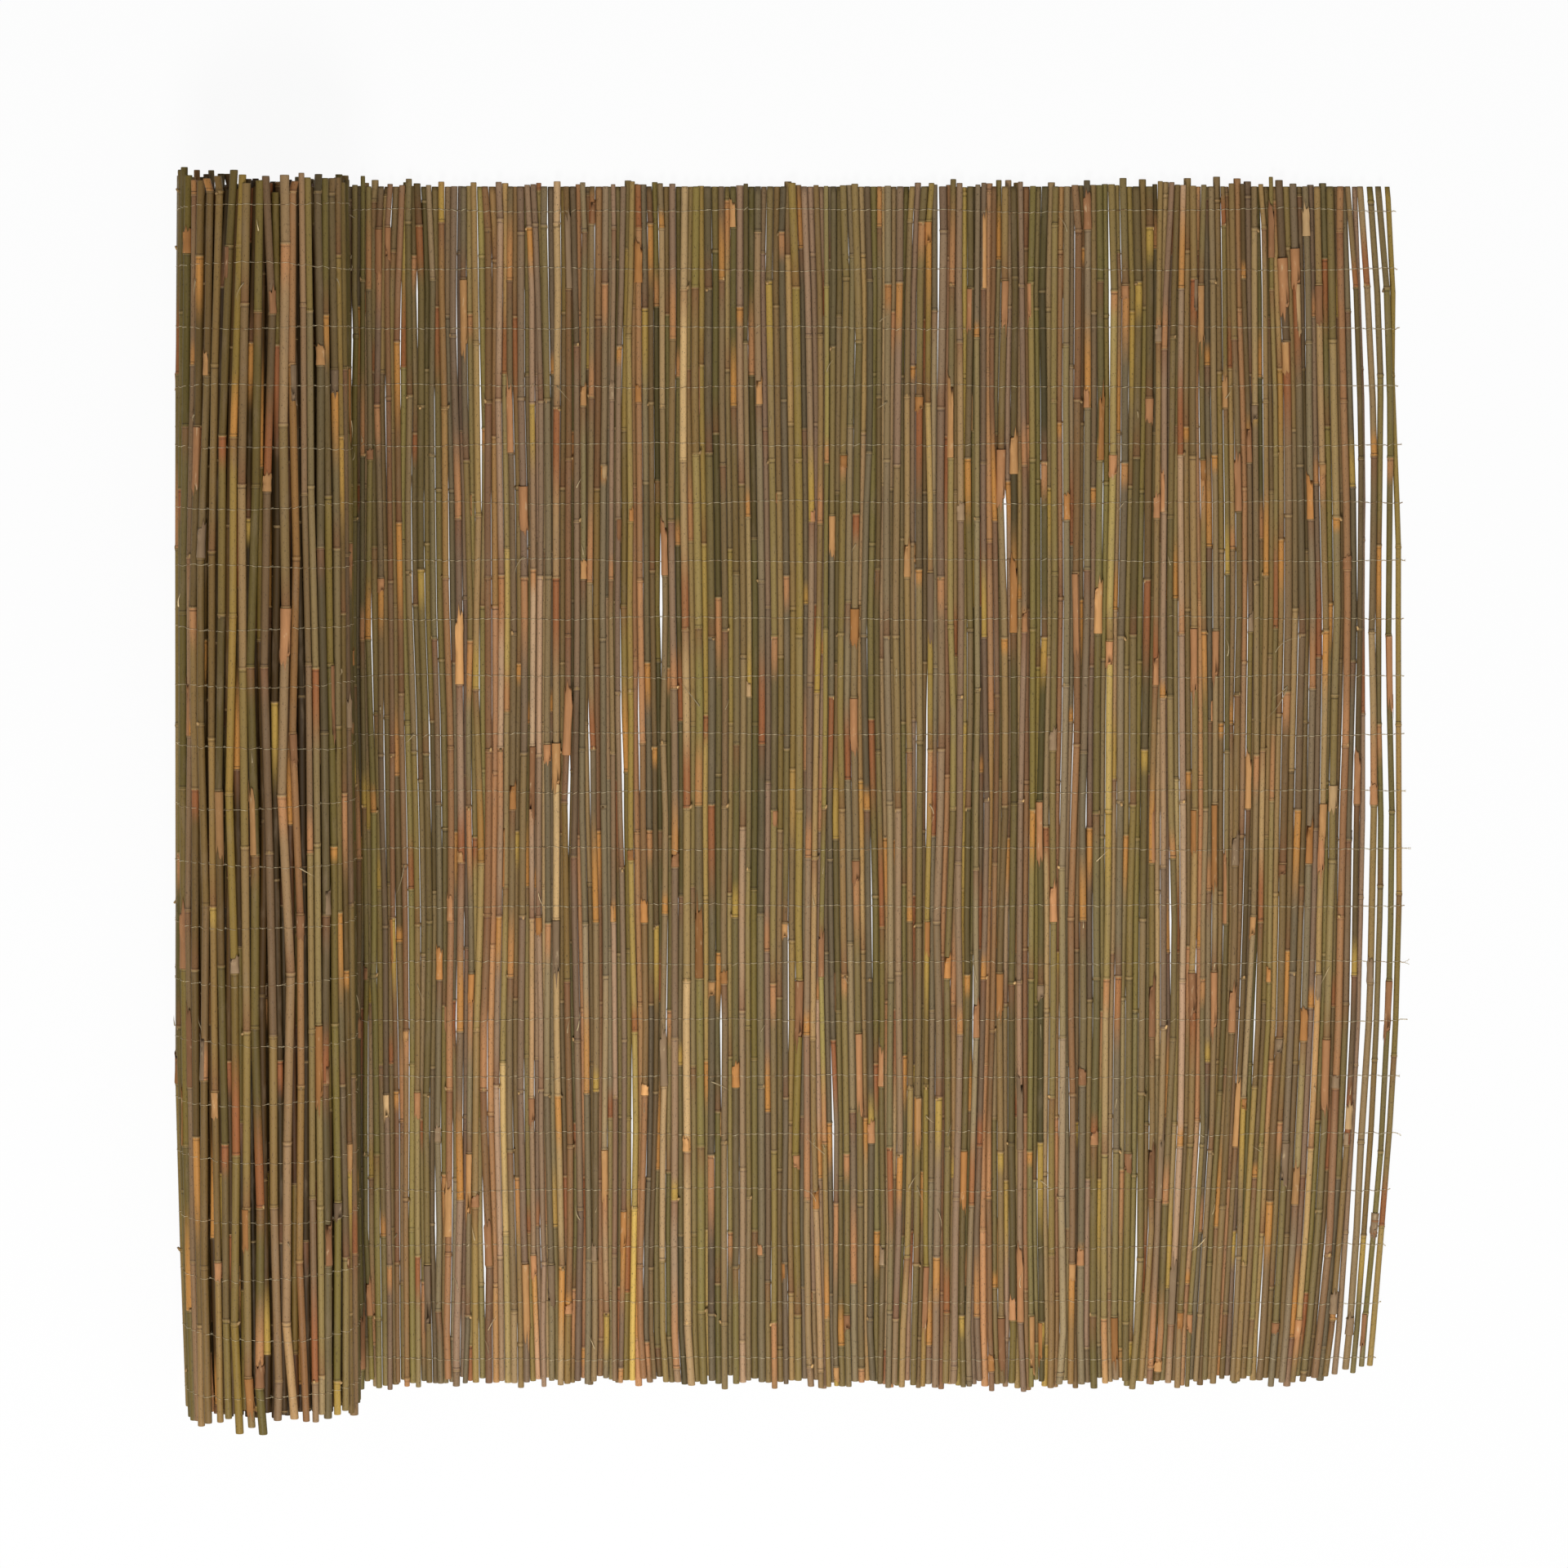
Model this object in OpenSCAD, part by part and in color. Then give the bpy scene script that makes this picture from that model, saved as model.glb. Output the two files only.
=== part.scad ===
// Bamboo screening mat, partly unrolled: whole canes laid side by side in two
// alternating levels and bound by rows of galvanised wire.
// Millimetres. X runs along the mat from the roll to the free edge, Y along the
// canes, Z up from the floor that the mat lies on. The origin is the middle of
// the underside of the whole shape.

/* [Canes] */
// Length of the longest cane
cane_length = 2000; // [600:20:3000]
// Middle diameter of the canes, halfway along
cane_diameter = 10.8; // [8:0.2:14]
// How far a cane's diameter may differ from the middle one, either way
diameter_spread = 1.7; // [0:0.1:2.4]
// Butt diameter less tip diameter of one cane
cane_taper = 1.2; // [0:0.1:2.4]
// Bore of the open end of a cane, as a share of its diameter
bore_share = 0.45; // [0.2:0.05:0.7]
// Depth of the open bore at each end
bore_depth = 9; // [4:1:40]
// Height of a node ring over the cane
node_swell = 1.0; // [0.9:0.1:1.6]
// Half the width of a node ring
node_half_width = 2.4; // [1:0.2:5]
// Most that a cane's end falls short of the longest, at random
ragged_ends = 15; // [0:1:40]
// Slow wave of the line of ends along the mat
end_wave = 7; // [0:1:20]
// How much shorter the last canes at the free edge are, at each end
edge_shortfall = 26; // [0:1:60]

/* [Mat] */
// Thickness over both levels of canes
mat_thickness = 21.6; // [19:0.2:30]
// Gap between a node ring and the next cane
cane_gap = 0.3; // [0.2:0.1:1]
// Share of the canes that leave an open slit beside them
slit_share = 0.14; // [0:0.02:0.6]
// Widest open slit
slit_width = 5.4; // [0:0.2:8]
// Least step from one cane to the next, along the mat
least_step = 3; // [1:0.5:6]
// Number of loose canes at the free edge
loose_canes = 5; // [0:1:10]
// Extra space beside each loose cane
loose_gap = 8; // [0:0.5:12]
// Most that a cane on the floor leans, foot against head
sheet_lean = 30; // [2:1:40]
// Most that a cane in the roll leans
roll_lean = 5; // [1:0.5:6]

/* [Roll] */
// Flat mat on the floor, from under the roll's axis to the free edge
flat_length = 1849; // [600:1:6000]
// Radius of the outermost turn, at the middle of the mat's thickness
roll_radius = 144; // [140:1:260]
// Gap between one turn and the next
turn_gap = 0.9; // [0.4:0.1:5]

/* [Binding wire] */
// Diameter of one strand
wire_diameter = 0.8; // [0.4:0.1:0.8]
// Distance from the ends of the canes to the first row
first_row = 54; // [30:1:120]
// Radius of the twist that closes a row at its ends
twist_radius = 0.6; // [0.5:0.1:1]

/* [Hidden] */
$fn = 24;

wire_rows = 21;
half_turns = 10;
flat_bays = 4;
bay = flat_length / flat_bays;
half_mat = mat_thickness / 2;
turn_pitch = mat_thickness + turn_gap;
row_pitch = (cane_length - 2 * first_row) / (wire_rows - 1);
wire_level = half_mat - node_swell / 2;
node_rows = 3;
most_canes = 760;
twist_reach = wire_level + wire_diameter / 2 + 0.05;
edge_clearance = 0.2;
edge_x = flat_length + 2 * edge_clearance + 2 * twist_radius;
centre_x = (edge_x - roll_radius - half_mat) / 2;

// Arc length wound before half-turn k, and the whole length of the mat.
function wound(k) = PI * (k * roll_radius - turn_pitch * k * (k - 1) / 4);
function turn_radius(k) = roll_radius - k * turn_pitch / 2;
function turn_centre(k) = half_mat + roll_radius + (k % 2) * turn_pitch / 2;
mat_length = flat_length + wound(half_turns);

// Which half-turn an arc length falls in.
lead = roll_radius + turn_pitch / 4;
function turn_at(a) = min(half_turns - 1,
    floor((lead - sqrt(max(0, lead * lead - turn_pitch * a / PI))) / (turn_pitch / 2)));

// Place of a point u along the mat from its free edge and off below its middle.
function place(u, off) = u <= flat_length ? [flat_length - u, half_mat - off]
    : let (a = u - flat_length, k = turn_at(a), q = turn_radius(k),
        t = (a - wound(k)) / q * 180 / PI, s = k % 2 == 0 ? -1 : 1)
        [s * (q + off) * sin(t), turn_centre(k) + s * (q + off) * cos(t)];

// Radius that the mat is bent to at u, or 0 where it lies flat.
function bend(u) = u <= flat_length ? 0 : turn_radius(turn_at(u - flat_length));

// Height of a cane's axis below the middle of the mat: level 0 lies on the floor
// side, which is the outside of the roll, and level 1 on the other.
function axis_off(r, level) = (level == 0 ? 1 : -1) * (half_mat - node_swell - r);

// Distance along the mat between two canes that must lie d apart.
function apart(q, ra, la, rb, lb, d) = let (oa = axis_off(ra, la), ob = axis_off(rb, lb))
    q == 0 ? sqrt(max(0, d * d - (oa - ob) * (oa - ob)))
    : let (pa = q + oa, pb = q + ob, c = (pa * pa + pb * pb - d * d) / (2 * pa * pb))
        c >= 1 ? 0 : q * acos(c) * PI / 180;
function lerp(a, b, t) = a + (b - a) * t;

tone = rands(0, 1, most_canes + 1, 11);
slit = rands(0, 1, most_canes + 1, 23);
slit_size = rands(0.4, 1, most_canes + 1, 37);
way = rands(0, 1, most_canes + 1, 41);
short_foot = rands(0, 1, most_canes, 53);
short_head = rands(0, 1, most_canes, 61);
ring_phase = rands(0, 1, most_canes, 71);
ring_shift = rands(0, 1, most_canes * 10, 83);

function mid_radius(i) = cane_diameter / 2 + diameter_spread / 2 * (2 * tone[i] - 1);

// Step of cane i from the one before. A cane's record is
// [foot u, head u, foot radius, head radius, foot step, head step].
function step(i, a, b) = let (
    lean = a[0] - a[1],
    limit = a[0] > flat_length - 60 ? roll_lean : sheet_lean,
    // The butt goes to the end that lags, so that the canes stay nearly square.
    up = lean > 0.25 * limit ? 1 : lean < -0.25 * limit ? -1 : (way[i] < 0.5 ? 1 : -1),
    m = mid_radius(i),
    rf = m - up * cane_taper / 4, rh = m + up * cane_taper / 4,
    q = bend(a[0]), l = i % 2,
    need = [for (t = [0:0.25:1]) let (r = lerp(rf, rh, t), ra = lerp(a[2], a[3], t),
        rb = lerp(b[2], b[3], t))
        max(least_step,
            apart(q, ra, 1 - l, r, l, ra + r + node_swell + cane_gap),
            apart(q, rb, l, r, l, rb + r + 2 * node_swell + cane_gap)
                - lerp(a[4], a[5], t))],
    more = max([for (j = [0:4]) need[j] - lerp(need[0], need[4], j / 4)]),
    open = slit[i] < slit_share ? slit_width * slit_size[i] : 0,
    free = i <= loose_canes ? loose_gap * slit_size[i] : 0,
    foot = need[0] + more + free + (way[i] < 0.5 ? open : open / 4),
    head = need[4] + more + free + (way[i] < 0.5 ? open / 4 : open),
    // An end that would lag by more than the limit is opened up.
    slack = lean + foot - head)
    let (f = foot + max(0, -slack - limit), h = head + max(0, slack - limit))
    [a[0] + f, a[1] + h, rf, rh, f, h];

first = let (r = mid_radius(0), u = r + node_swell + edge_clearance)
    [u, u, r + cane_taper / 4, r - cane_taper / 4, 50, 50];
all_canes = [for (i = 0, s = [first, first]; i < most_canes;
    i = i + 1, s = [step(i, s[0], s[1]), s[0]]) s[0]];
canes = [for (i = [0:most_canes - 1])
    if (max(all_canes[i][0], all_canes[i][1]) < mat_length - 8) all_canes[i]];
count = len(canes);
// Angle of the last half-turn, up to just past the last cane, to 0.01 degree.
last_turn = let (u = max(canes[count - 1][0], canes[count - 1][1]) + 9, k = half_turns - 1)
    round((u - flat_length - wound(k)) / turn_radius(k) * 18000 / PI) / 100;

// How far each end falls short, taken so that the longest cane has none.
function edge_part(i) = i < loose_canes + 2 ? edge_shortfall * (1 - i / (loose_canes + 2)) : 0;
raw_foot = [for (i = [0:count - 1]) ragged_ends * short_foot[i] + edge_part(i)
    + end_wave * (1 + sin(canes[i][0] * 0.31 + 40)) / 2];
raw_head = [for (i = [0:count - 1]) ragged_ends * short_head[i] + edge_part(i) * 0.8
    + end_wave * (1 + sin(canes[i][1] * 0.23 + 200)) / 2];
least_foot = min(raw_foot);
least_head = min(raw_head);

// Node rings lie between the wire rows, and never beside those of the next cane.
function ring_y(i, j) = first_row + row_pitch * (floor(ring_phase[i] * node_rows) - node_rows
    + node_rows * j + (i % 2 == 0 ? 0.14 : 0.62) + 0.24 * ring_shift[i * 10 + j]);

module cane(i) {
    c = canes[i];
    low = raw_foot[i] - least_foot;
    pf = place(c[0], axis_off(c[2], i % 2));
    ph = place(c[1], axis_off(c[3], i % 2));
    d = [ph[0] - pf[0], cane_length, ph[1] - pf[1]];
    long = norm(d);
    high = long - raw_head[i] + least_head;
    rings = [for (j = [0:9]) let (y = ring_y(i, j))
        if (y > low + bore_depth + 2 * node_half_width
            && y < high - bore_depth - 2 * node_half_width) y];
    bf = bore_share * c[2];
    bh = bore_share * c[3];
    profile = concat(
        [[0, low + bore_depth], [bf, low + bore_depth], [bf, low],
            [lerp(c[2], c[3], low / long), low]],
        [for (y = rings, e = [-1:1]) let (h = y + e * node_half_width)
            [lerp(c[2], c[3], h / long) + (e == 0 ? node_swell : 0), h]],
        [[lerp(c[2], c[3], high / long), high], [bh, high], [bh, high - bore_depth],
            [0, high - bore_depth]]);
    translate([pf[0] - centre_x, -cane_length / 2, pf[1]])
        rotate([asin(d[2] / long), 0, -atan2(d[0], d[1])])
            rotate([-90, 0, 0])
                rotate_extrude() polygon(profile);
}

// The canes of one level whose middle lies from u0 to u1 along the mat.
module cane_run(u0, u1, level)
    for (i = [level:2:count - 1])
        if ((canes[i][0] + canes[i][1]) / 2 >= u0 && (canes[i][0] + canes[i][1]) / 2 < u1)
            cane(i);

module flat_bay(n, level) color([0.47, 0.41, 0.26]) cane_run((n - 1) * bay, n * bay, level);
module half_turn(n, level) color([0.44, 0.38, 0.25])
    cane_run(flat_length + wound(n - 1), flat_length + wound(n), level);

// One strand of a row: straight along the floor, then wound with the roll. Its
// ends stop in the twist that joins it to the other strand.
module strand(off) {
    translate([0, 0, half_mat - off]) rotate([0, 90, 0])
        cylinder(d = wire_diameter, h = edge_x - twist_radius);
    for (k = [0:half_turns - 1]) {
        t = k < half_turns - 1 ? 180 : last_turn;
        translate([0, 0, turn_centre(k)]) rotate([90, 0, 0])
            rotate_extrude(angle = t, start = k % 2 == 0 ? 270 - t : 90 - t)
                translate([turn_radius(k) + off, 0]) circle(d = wire_diameter);
    }
}

module wire_row(n) color([0.62, 0.56, 0.42])
    translate([-centre_x, -cane_length / 2 + first_row + (n - 1) * row_pitch, 0]) {
        strand(wire_level);
        strand(-wire_level);
        // The twists that close the row, at the free edge and in the roll.
        translate([edge_x - twist_radius, 0, half_mat - twist_reach])
            cylinder(r = twist_radius, h = 2 * twist_reach);
        translate([0, 0, turn_centre(half_turns - 1)]) rotate([0, last_turn, 0])
            translate([0, 0, turn_radius(half_turns - 1) - twist_reach])
                cylinder(r = twist_radius, h = 2 * twist_reach);
    }

module flat_lower_canes_01() flat_bay(1, 0);
module flat_lower_canes_02() flat_bay(2, 0);
module flat_lower_canes_03() flat_bay(3, 0);
module flat_lower_canes_04() flat_bay(4, 0);
module flat_upper_canes_01() flat_bay(1, 1);
module flat_upper_canes_02() flat_bay(2, 1);
module flat_upper_canes_03() flat_bay(3, 1);
module flat_upper_canes_04() flat_bay(4, 1);
module roll_outer_canes_01() half_turn(1, 0);
module roll_outer_canes_02() half_turn(2, 0);
module roll_outer_canes_03() half_turn(3, 0);
module roll_outer_canes_04() half_turn(4, 0);
module roll_outer_canes_05() half_turn(5, 0);
module roll_outer_canes_06() half_turn(6, 0);
module roll_outer_canes_07() half_turn(7, 0);
module roll_outer_canes_08() half_turn(8, 0);
module roll_outer_canes_09() half_turn(9, 0);
module roll_outer_canes_10() half_turn(10, 0);
module roll_inner_canes_01() half_turn(1, 1);
module roll_inner_canes_02() half_turn(2, 1);
module roll_inner_canes_03() half_turn(3, 1);
module roll_inner_canes_04() half_turn(4, 1);
module roll_inner_canes_05() half_turn(5, 1);
module roll_inner_canes_06() half_turn(6, 1);
module roll_inner_canes_07() half_turn(7, 1);
module roll_inner_canes_08() half_turn(8, 1);
module roll_inner_canes_09() half_turn(9, 1);
module roll_inner_canes_10() half_turn(10, 1);
module binding_wire_01() wire_row(1);
module binding_wire_02() wire_row(2);
module binding_wire_03() wire_row(3);
module binding_wire_04() wire_row(4);
module binding_wire_05() wire_row(5);
module binding_wire_06() wire_row(6);
module binding_wire_07() wire_row(7);
module binding_wire_08() wire_row(8);
module binding_wire_09() wire_row(9);
module binding_wire_10() wire_row(10);
module binding_wire_11() wire_row(11);
module binding_wire_12() wire_row(12);
module binding_wire_13() wire_row(13);
module binding_wire_14() wire_row(14);
module binding_wire_15() wire_row(15);
module binding_wire_16() wire_row(16);
module binding_wire_17() wire_row(17);
module binding_wire_18() wire_row(18);
module binding_wire_19() wire_row(19);
module binding_wire_20() wire_row(20);
module binding_wire_21() wire_row(21);

flat_lower_canes_01();
flat_lower_canes_02();
flat_lower_canes_03();
flat_lower_canes_04();
flat_upper_canes_01();
flat_upper_canes_02();
flat_upper_canes_03();
flat_upper_canes_04();
roll_outer_canes_01();
roll_outer_canes_02();
roll_outer_canes_03();
roll_outer_canes_04();
roll_outer_canes_05();
roll_outer_canes_06();
roll_outer_canes_07();
roll_outer_canes_08();
roll_outer_canes_09();
roll_outer_canes_10();
roll_inner_canes_01();
roll_inner_canes_02();
roll_inner_canes_03();
roll_inner_canes_04();
roll_inner_canes_05();
roll_inner_canes_06();
roll_inner_canes_07();
roll_inner_canes_08();
roll_inner_canes_09();
roll_inner_canes_10();
binding_wire_01();
binding_wire_02();
binding_wire_03();
binding_wire_04();
binding_wire_05();
binding_wire_06();
binding_wire_07();
binding_wire_08();
binding_wire_09();
binding_wire_10();
binding_wire_11();
binding_wire_12();
binding_wire_13();
binding_wire_14();
binding_wire_15();
binding_wire_16();
binding_wire_17();
binding_wire_18();
binding_wire_19();
binding_wire_20();
binding_wire_21();
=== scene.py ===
# %% [markdown]
# # A bamboo screening mat, partly unrolled
# The mat is some five hundred whole bamboo canes, 2 m long, bound side by side by rows of
# thin galvanised wire. Over a third of it lies flat and the rest is rolled up. The packed
# model already holds every cane and every wire row at its true place, so this script reads
# the canes from it and dresses each one as the real thing looks.

# %% Load the frame and keep its box
import math
import bpy
import numpy as np
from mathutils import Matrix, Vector


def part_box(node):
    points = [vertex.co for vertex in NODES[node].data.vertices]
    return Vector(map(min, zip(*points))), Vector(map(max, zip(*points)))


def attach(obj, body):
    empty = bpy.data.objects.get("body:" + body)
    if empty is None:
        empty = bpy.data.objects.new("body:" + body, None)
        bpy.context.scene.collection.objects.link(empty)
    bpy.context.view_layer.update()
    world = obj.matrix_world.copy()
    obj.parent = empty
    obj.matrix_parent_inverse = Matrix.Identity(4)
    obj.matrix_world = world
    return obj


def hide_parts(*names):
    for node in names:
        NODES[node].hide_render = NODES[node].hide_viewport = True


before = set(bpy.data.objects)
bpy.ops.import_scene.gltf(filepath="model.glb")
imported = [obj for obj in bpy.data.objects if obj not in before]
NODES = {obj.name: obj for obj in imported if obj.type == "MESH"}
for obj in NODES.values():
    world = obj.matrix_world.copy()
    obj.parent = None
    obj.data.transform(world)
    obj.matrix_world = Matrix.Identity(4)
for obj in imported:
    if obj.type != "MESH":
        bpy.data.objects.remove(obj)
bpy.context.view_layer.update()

SEED = np.random.default_rng(2537)
CANE_NODES = sorted(n for n in NODES if "canes" in n)
WIRE_NODES = sorted(n for n in NODES if "wire" in n)
print(f"{len(CANE_NODES)} cane nodes and {len(WIRE_NODES)} wire rows")

# %% [markdown]
# ## Reading the canes
# Each node holds about twenty canes as loose closed shells. A cane is a turned shape, so its
# axis runs from the middle of one end to the middle of the other, and the widest points
# along it are its node rings. Welding the mesh and following its edges tells one cane from
# the next. This could be typed in again as numbers, but reading it keeps the finished canes
# exactly where the wires, the floor and the collision shapes expect them.

# %% Split a node's mesh into its canes
def welded(obj):
    """The node's points and triangles, with points that coincide made one."""
    me = obj.data
    co = np.empty(len(me.vertices) * 3)
    me.vertices.foreach_get("co", co)
    co = co.reshape(-1, 3)
    me.calc_loop_triangles()
    tri = np.empty(len(me.loop_triangles) * 3, dtype=np.int64)
    me.loop_triangles.foreach_get("vertices", tri)
    keys, back = np.unique(np.round(co * 2e5).astype(np.int64), axis=0, return_inverse=True)
    return keys / 2e5, back.ravel()[tri].reshape(-1, 3)


def shells(count, tri):
    """A label for each point, the same for all points of one closed shell."""
    label = np.arange(count)
    edges = np.vstack([tri[:, :2], tri[:, 1:]])
    while True:
        low = np.minimum(label[edges[:, 0]], label[edges[:, 1]])
        new = label.copy()
        np.minimum.at(new, edges[:, 0], low)
        np.minimum.at(new, edges[:, 1], low)
        new = new[new]
        new = np.minimum(new, new[new])
        if (new == label).all():
            return label
        label = new


def measure_cane(points):
    """Axis, radii and ring places of one cane, in metres."""
    foot = points[points[:, 1] < points[:, 1].min() + 0.002]
    head = points[points[:, 1] > points[:, 1].max() - 0.002]
    a = (foot.min(0) + foot.max(0)) / 2
    b = (head.min(0) + head.max(0)) / 2
    axis = (b - a) / np.linalg.norm(b - a)
    h = (points - a) @ axis
    r = np.linalg.norm(points - a - h[:, None] * axis, axis=1)
    length = h.max()
    r_foot = r[h < 0.002].max()
    r_head = r[h > length - 0.002].max()
    swell = r - (r_foot + (r_head - r_foot) * h / length)
    rings = np.unique(np.round(h[swell > 0.0007], 3))
    rings = [v for i, v in enumerate(rings) if i == 0 or v - rings[i - 1] > 0.02]
    return dict(a=a, axis=axis, length=length, r0=r_foot, r1=r_head, rings=rings)


# %% Read all the canes
canes = []
for name in CANE_NODES:
    points, tri = welded(NODES[name])
    label = shells(len(points), tri)
    for k in np.unique(label):
        cane = measure_cane(points[label == k])
        cane["node"] = name
        cane["part"] = name.split("_")[0]
        cane["level"] = 0 if ("lower" in name or "outer" in name) else 1
        cane["turn"] = int(name[-2:]) - 1 if cane["part"] == "roll" else -1
        canes.append(cane)
print(f"{len(canes)} canes, rings each {min(len(c['rings']) for c in canes)} to "
      f"{max(len(c['rings']) for c in canes)}")

# %% [markdown]
# ## Where each cane lies along the mat
# The wires cross the canes in the order in which they were bound, so the canes are put in
# that order: from the free edge to the roll, then round each half-turn. Each half-turn is a
# true half-circle. A circle fitted to its canes gives its middle, and from it every cane
# gets two directions: along the mat, and out of the mat on the side that faces the floor.

# %% Fit the half-turns and sort the canes
def fit_circle(x, z):
    m = np.column_stack([x, z, np.ones_like(x)])
    s = np.linalg.lstsq(m, x * x + z * z, rcond=None)[0]
    return np.array([s[0] / 2, s[1] / 2])


TURNS = 1 + max(c["turn"] for c in canes)
centres = []
for k in range(TURNS):
    mids = np.array([c["a"] + c["axis"] * c["length"] / 2 for c in canes
                     if c["turn"] == k and c["level"] == 0])
    centres.append(fit_circle(mids[:, 0], mids[:, 2]))
ROLL_AXIS = [np.mean([centres[k] for k in range(TURNS) if k % 2 == s], axis=0)
             for s in (0, 1)]
for c in canes:
    mid = c["a"] + c["axis"] * c["length"] / 2
    if c["turn"] < 0:
        c["key"] = (-1, -mid[0])
        c["along"], c["out"] = np.array([-1.0, 0, 0]), np.array([0, 0, -1.0])
        continue
    odd = c["turn"] % 2
    d = mid[[0, 2]] - ROLL_AXIS[odd]
    d /= np.linalg.norm(d)
    side = 1 if odd else -1
    angle = math.atan2(side * d[0], side * d[1])
    c["key"] = (c["turn"], angle + (2 * math.pi if angle < -math.pi / 2 else 0))
    c["out"] = np.array([d[0], 0, d[1]])
    c["along"] = np.array([d[1], 0, -d[0]])
canes.sort(key=lambda c: c["key"])
for i, c in enumerate(canes):
    c["i"] = i
    c["own"] = c["out"] if c["level"] == 0 else -c["out"]
    c["seen"] = c["turn"] < 2
levels = [c["level"] for c in canes]
print("levels alternate:", all(a != b for a, b in zip(levels, levels[1:])),
      " roll axis", [a.round(4).tolist() for a in ROLL_AXIS])

# %% [markdown]
# ## How a cane bends
# A thin bamboo stem is straight between its nodes and turns a few degrees at each one, so
# the canes look like drawn zigzags rather than rods. A cane's place is therefore a broken
# line with a shift at every node and a larger one at its free ends, past the last wires.
# The neighbours limit it: where two canes would meet they are moved apart, and where they
# would part they are drawn together, again and again, until every cane fits. Only in a few
# places may two canes open into a slit, a hand's length or two long.

# %% Shifts that each cane would like
def is_front(c):
    return c["seen"] and (c["level"] == 1) == (c["turn"] < 0)


GRID = np.linspace(-0.985, 0.985, 47)
LOOSE = 6
for c in canes:
    c["grid_h"] = (GRID - c["a"][1]) / c["axis"][1]
    c["grid"] = c["a"] + c["grid_h"][:, None] * c["axis"]
    c["r_more"] = 0.0
    if is_front(c):
        c["r_more"] = SEED.uniform(-0.0008, 0.0001) + (0.0009 if c["turn"] >= 0 else 0.0)
    c["grows"] = 1 if c["r0"] >= c["r1"] else -1
    c["trim"] = SEED.uniform(-0.003, [0.006, 0.012])
    if c["turn"] >= 0:
        short, long = (-0.011, 0.006) if is_front(c) else (0.010, 0.022)
        c["trim"] = SEED.uniform(short, long, 2)


def group_lean(c, y):
    """Shift that groups of canes share, most where their ends stand free of the wires."""
    i = c["i"]
    free = 0.0080 if c["turn"] >= 0 else 0.0055
    end = (np.abs(y) * 4 - 3).clip(0, 1)
    shift = free * end * np.sin(i * 0.31 + 2.1 * np.sign(y)) * math.sin(i * 0.083 + 1)
    shift += 0.0050 * np.sin(i * 0.17 + y * 2.6) * np.sin(i * 0.047 - y * 1.1)
    shift += 0.0025 * np.sin(i * 0.41 + y * 5.2) * np.sin(i * 0.11 + y * 2.0)
    return shift


for c in canes:
    front = is_front(c)
    size = 0.0046 if front else 0.0030 if c["seen"] else 0.0005
    if c["i"] < LOOSE or (front and c["turn"] >= 0):
        size = 0.0042
    bends = np.r_[0.0, c["rings"], c["length"]]
    at_random = SEED.normal(0, size, len(bends))
    at_random[[0, -1]] += SEED.normal(0, 1.2 * size, 2)
    spare = c["grid_h"][2::4] if c["turn"] < 0 else []
    c["extra"] = [h for h in spare if np.abs(np.array(c["rings"]) - h).min() > 0.012]
    c["at"] = np.sort(np.r_[bends, c["extra"]])
    y = c["at"] + c["a"][1]
    c["side"] = np.interp(c["at"], bends, at_random)
    if c["seen"]:
        c["side"] += group_lean(c, y)
print("most shift wished:", round(1000 * max(abs(c["side"]).max() for c in canes), 1), "mm")

# %% Let the neighbours limit them
SLIT_ODDS, SLIT_LEAST, SLIT_MOST = 0.19, 0.0020, 0.0062
LEAST_STEP, HIDDEN, LOOSE_ROOM = 0.0046, 0.0005, 0.0075
ROUNDS, PACE = 600, 0.22
flat = [c for c in canes if c["turn"] < 0]
base = np.array([(d["grid"] - c["grid"]) @ c["along"] for c, d in zip(flat, flat[1:])])
radius = np.array([c["r0"] + c["r_more"] + (c["r1"] - c["r0"]) * c["grid_h"] / c["length"]
                   for c in flat])
touch, base_next = radius[:-1] + radius[1:], base[:-1] + base[1:]
slit = np.zeros_like(base)
for row in slit[LOOSE:]:
    if SEED.random() < SLIT_ODDS:
        place, half = SEED.uniform(-0.9, 0.92), SEED.uniform(0.06, 0.15)
        wide = SEED.uniform(SLIT_LEAST, SLIT_MOST)
        row += wide * (1 - np.abs(GRID - place) / half).clip(0, 1)
least = np.where(slit > 0, touch + slit, LEAST_STEP)
most = touch - HIDDEN + slit
most[:LOOSE] = touch[:LOOSE] + LOOSE_ROOM
least_next = np.minimum(radius[:-2] + radius[2:] + 0.0003, base_next)
shift = np.array([np.interp(c["grid_h"], c["at"], c["side"]) for c in flat])
last = shift[-1].copy()
for _ in range(ROUNDS):
    gap = base + shift[1:] - shift[:-1]
    push = PACE * ((least - gap).clip(0) - (gap - most).clip(0))
    shift[1:] += push
    shift[:-1] -= push
    push = PACE * (least_next - base_next - shift[2:] + shift[:-2]).clip(0)
    shift[2:] += push
    shift[:-2] -= push
    shift[-1] = last
for c, row in zip(flat, shift):
    c["side"] = np.interp(c["at"], c["grid_h"], row)
print("slits:", int((slit.max(1) > 0).sum()), " widest other gap",
      round(1000 * (gap - most)[LOOSE:].max(), 2), "mm")


def settle(one, two, least):
    """Shrink the shifts of two canes of the roll where they would come closer than least."""
    base = (two["grid"] - one["grid"]) @ one["along"]
    now = base + np.interp(two["grid_h"], two["at"], two["side"]) \
        - np.interp(one["grid_h"], one["at"], one["side"])
    bad = now < np.minimum(least, base) - 1e-6
    for c in (one, two):
        if bad.any() and c["turn"] >= 0:
            k = np.searchsorted(c["at"], c["grid_h"][bad]).clip(1, len(c["at"]) - 1)
            c["side"][np.unique(np.r_[k, k - 1])] *= 0.8
    return bad.any()


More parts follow.
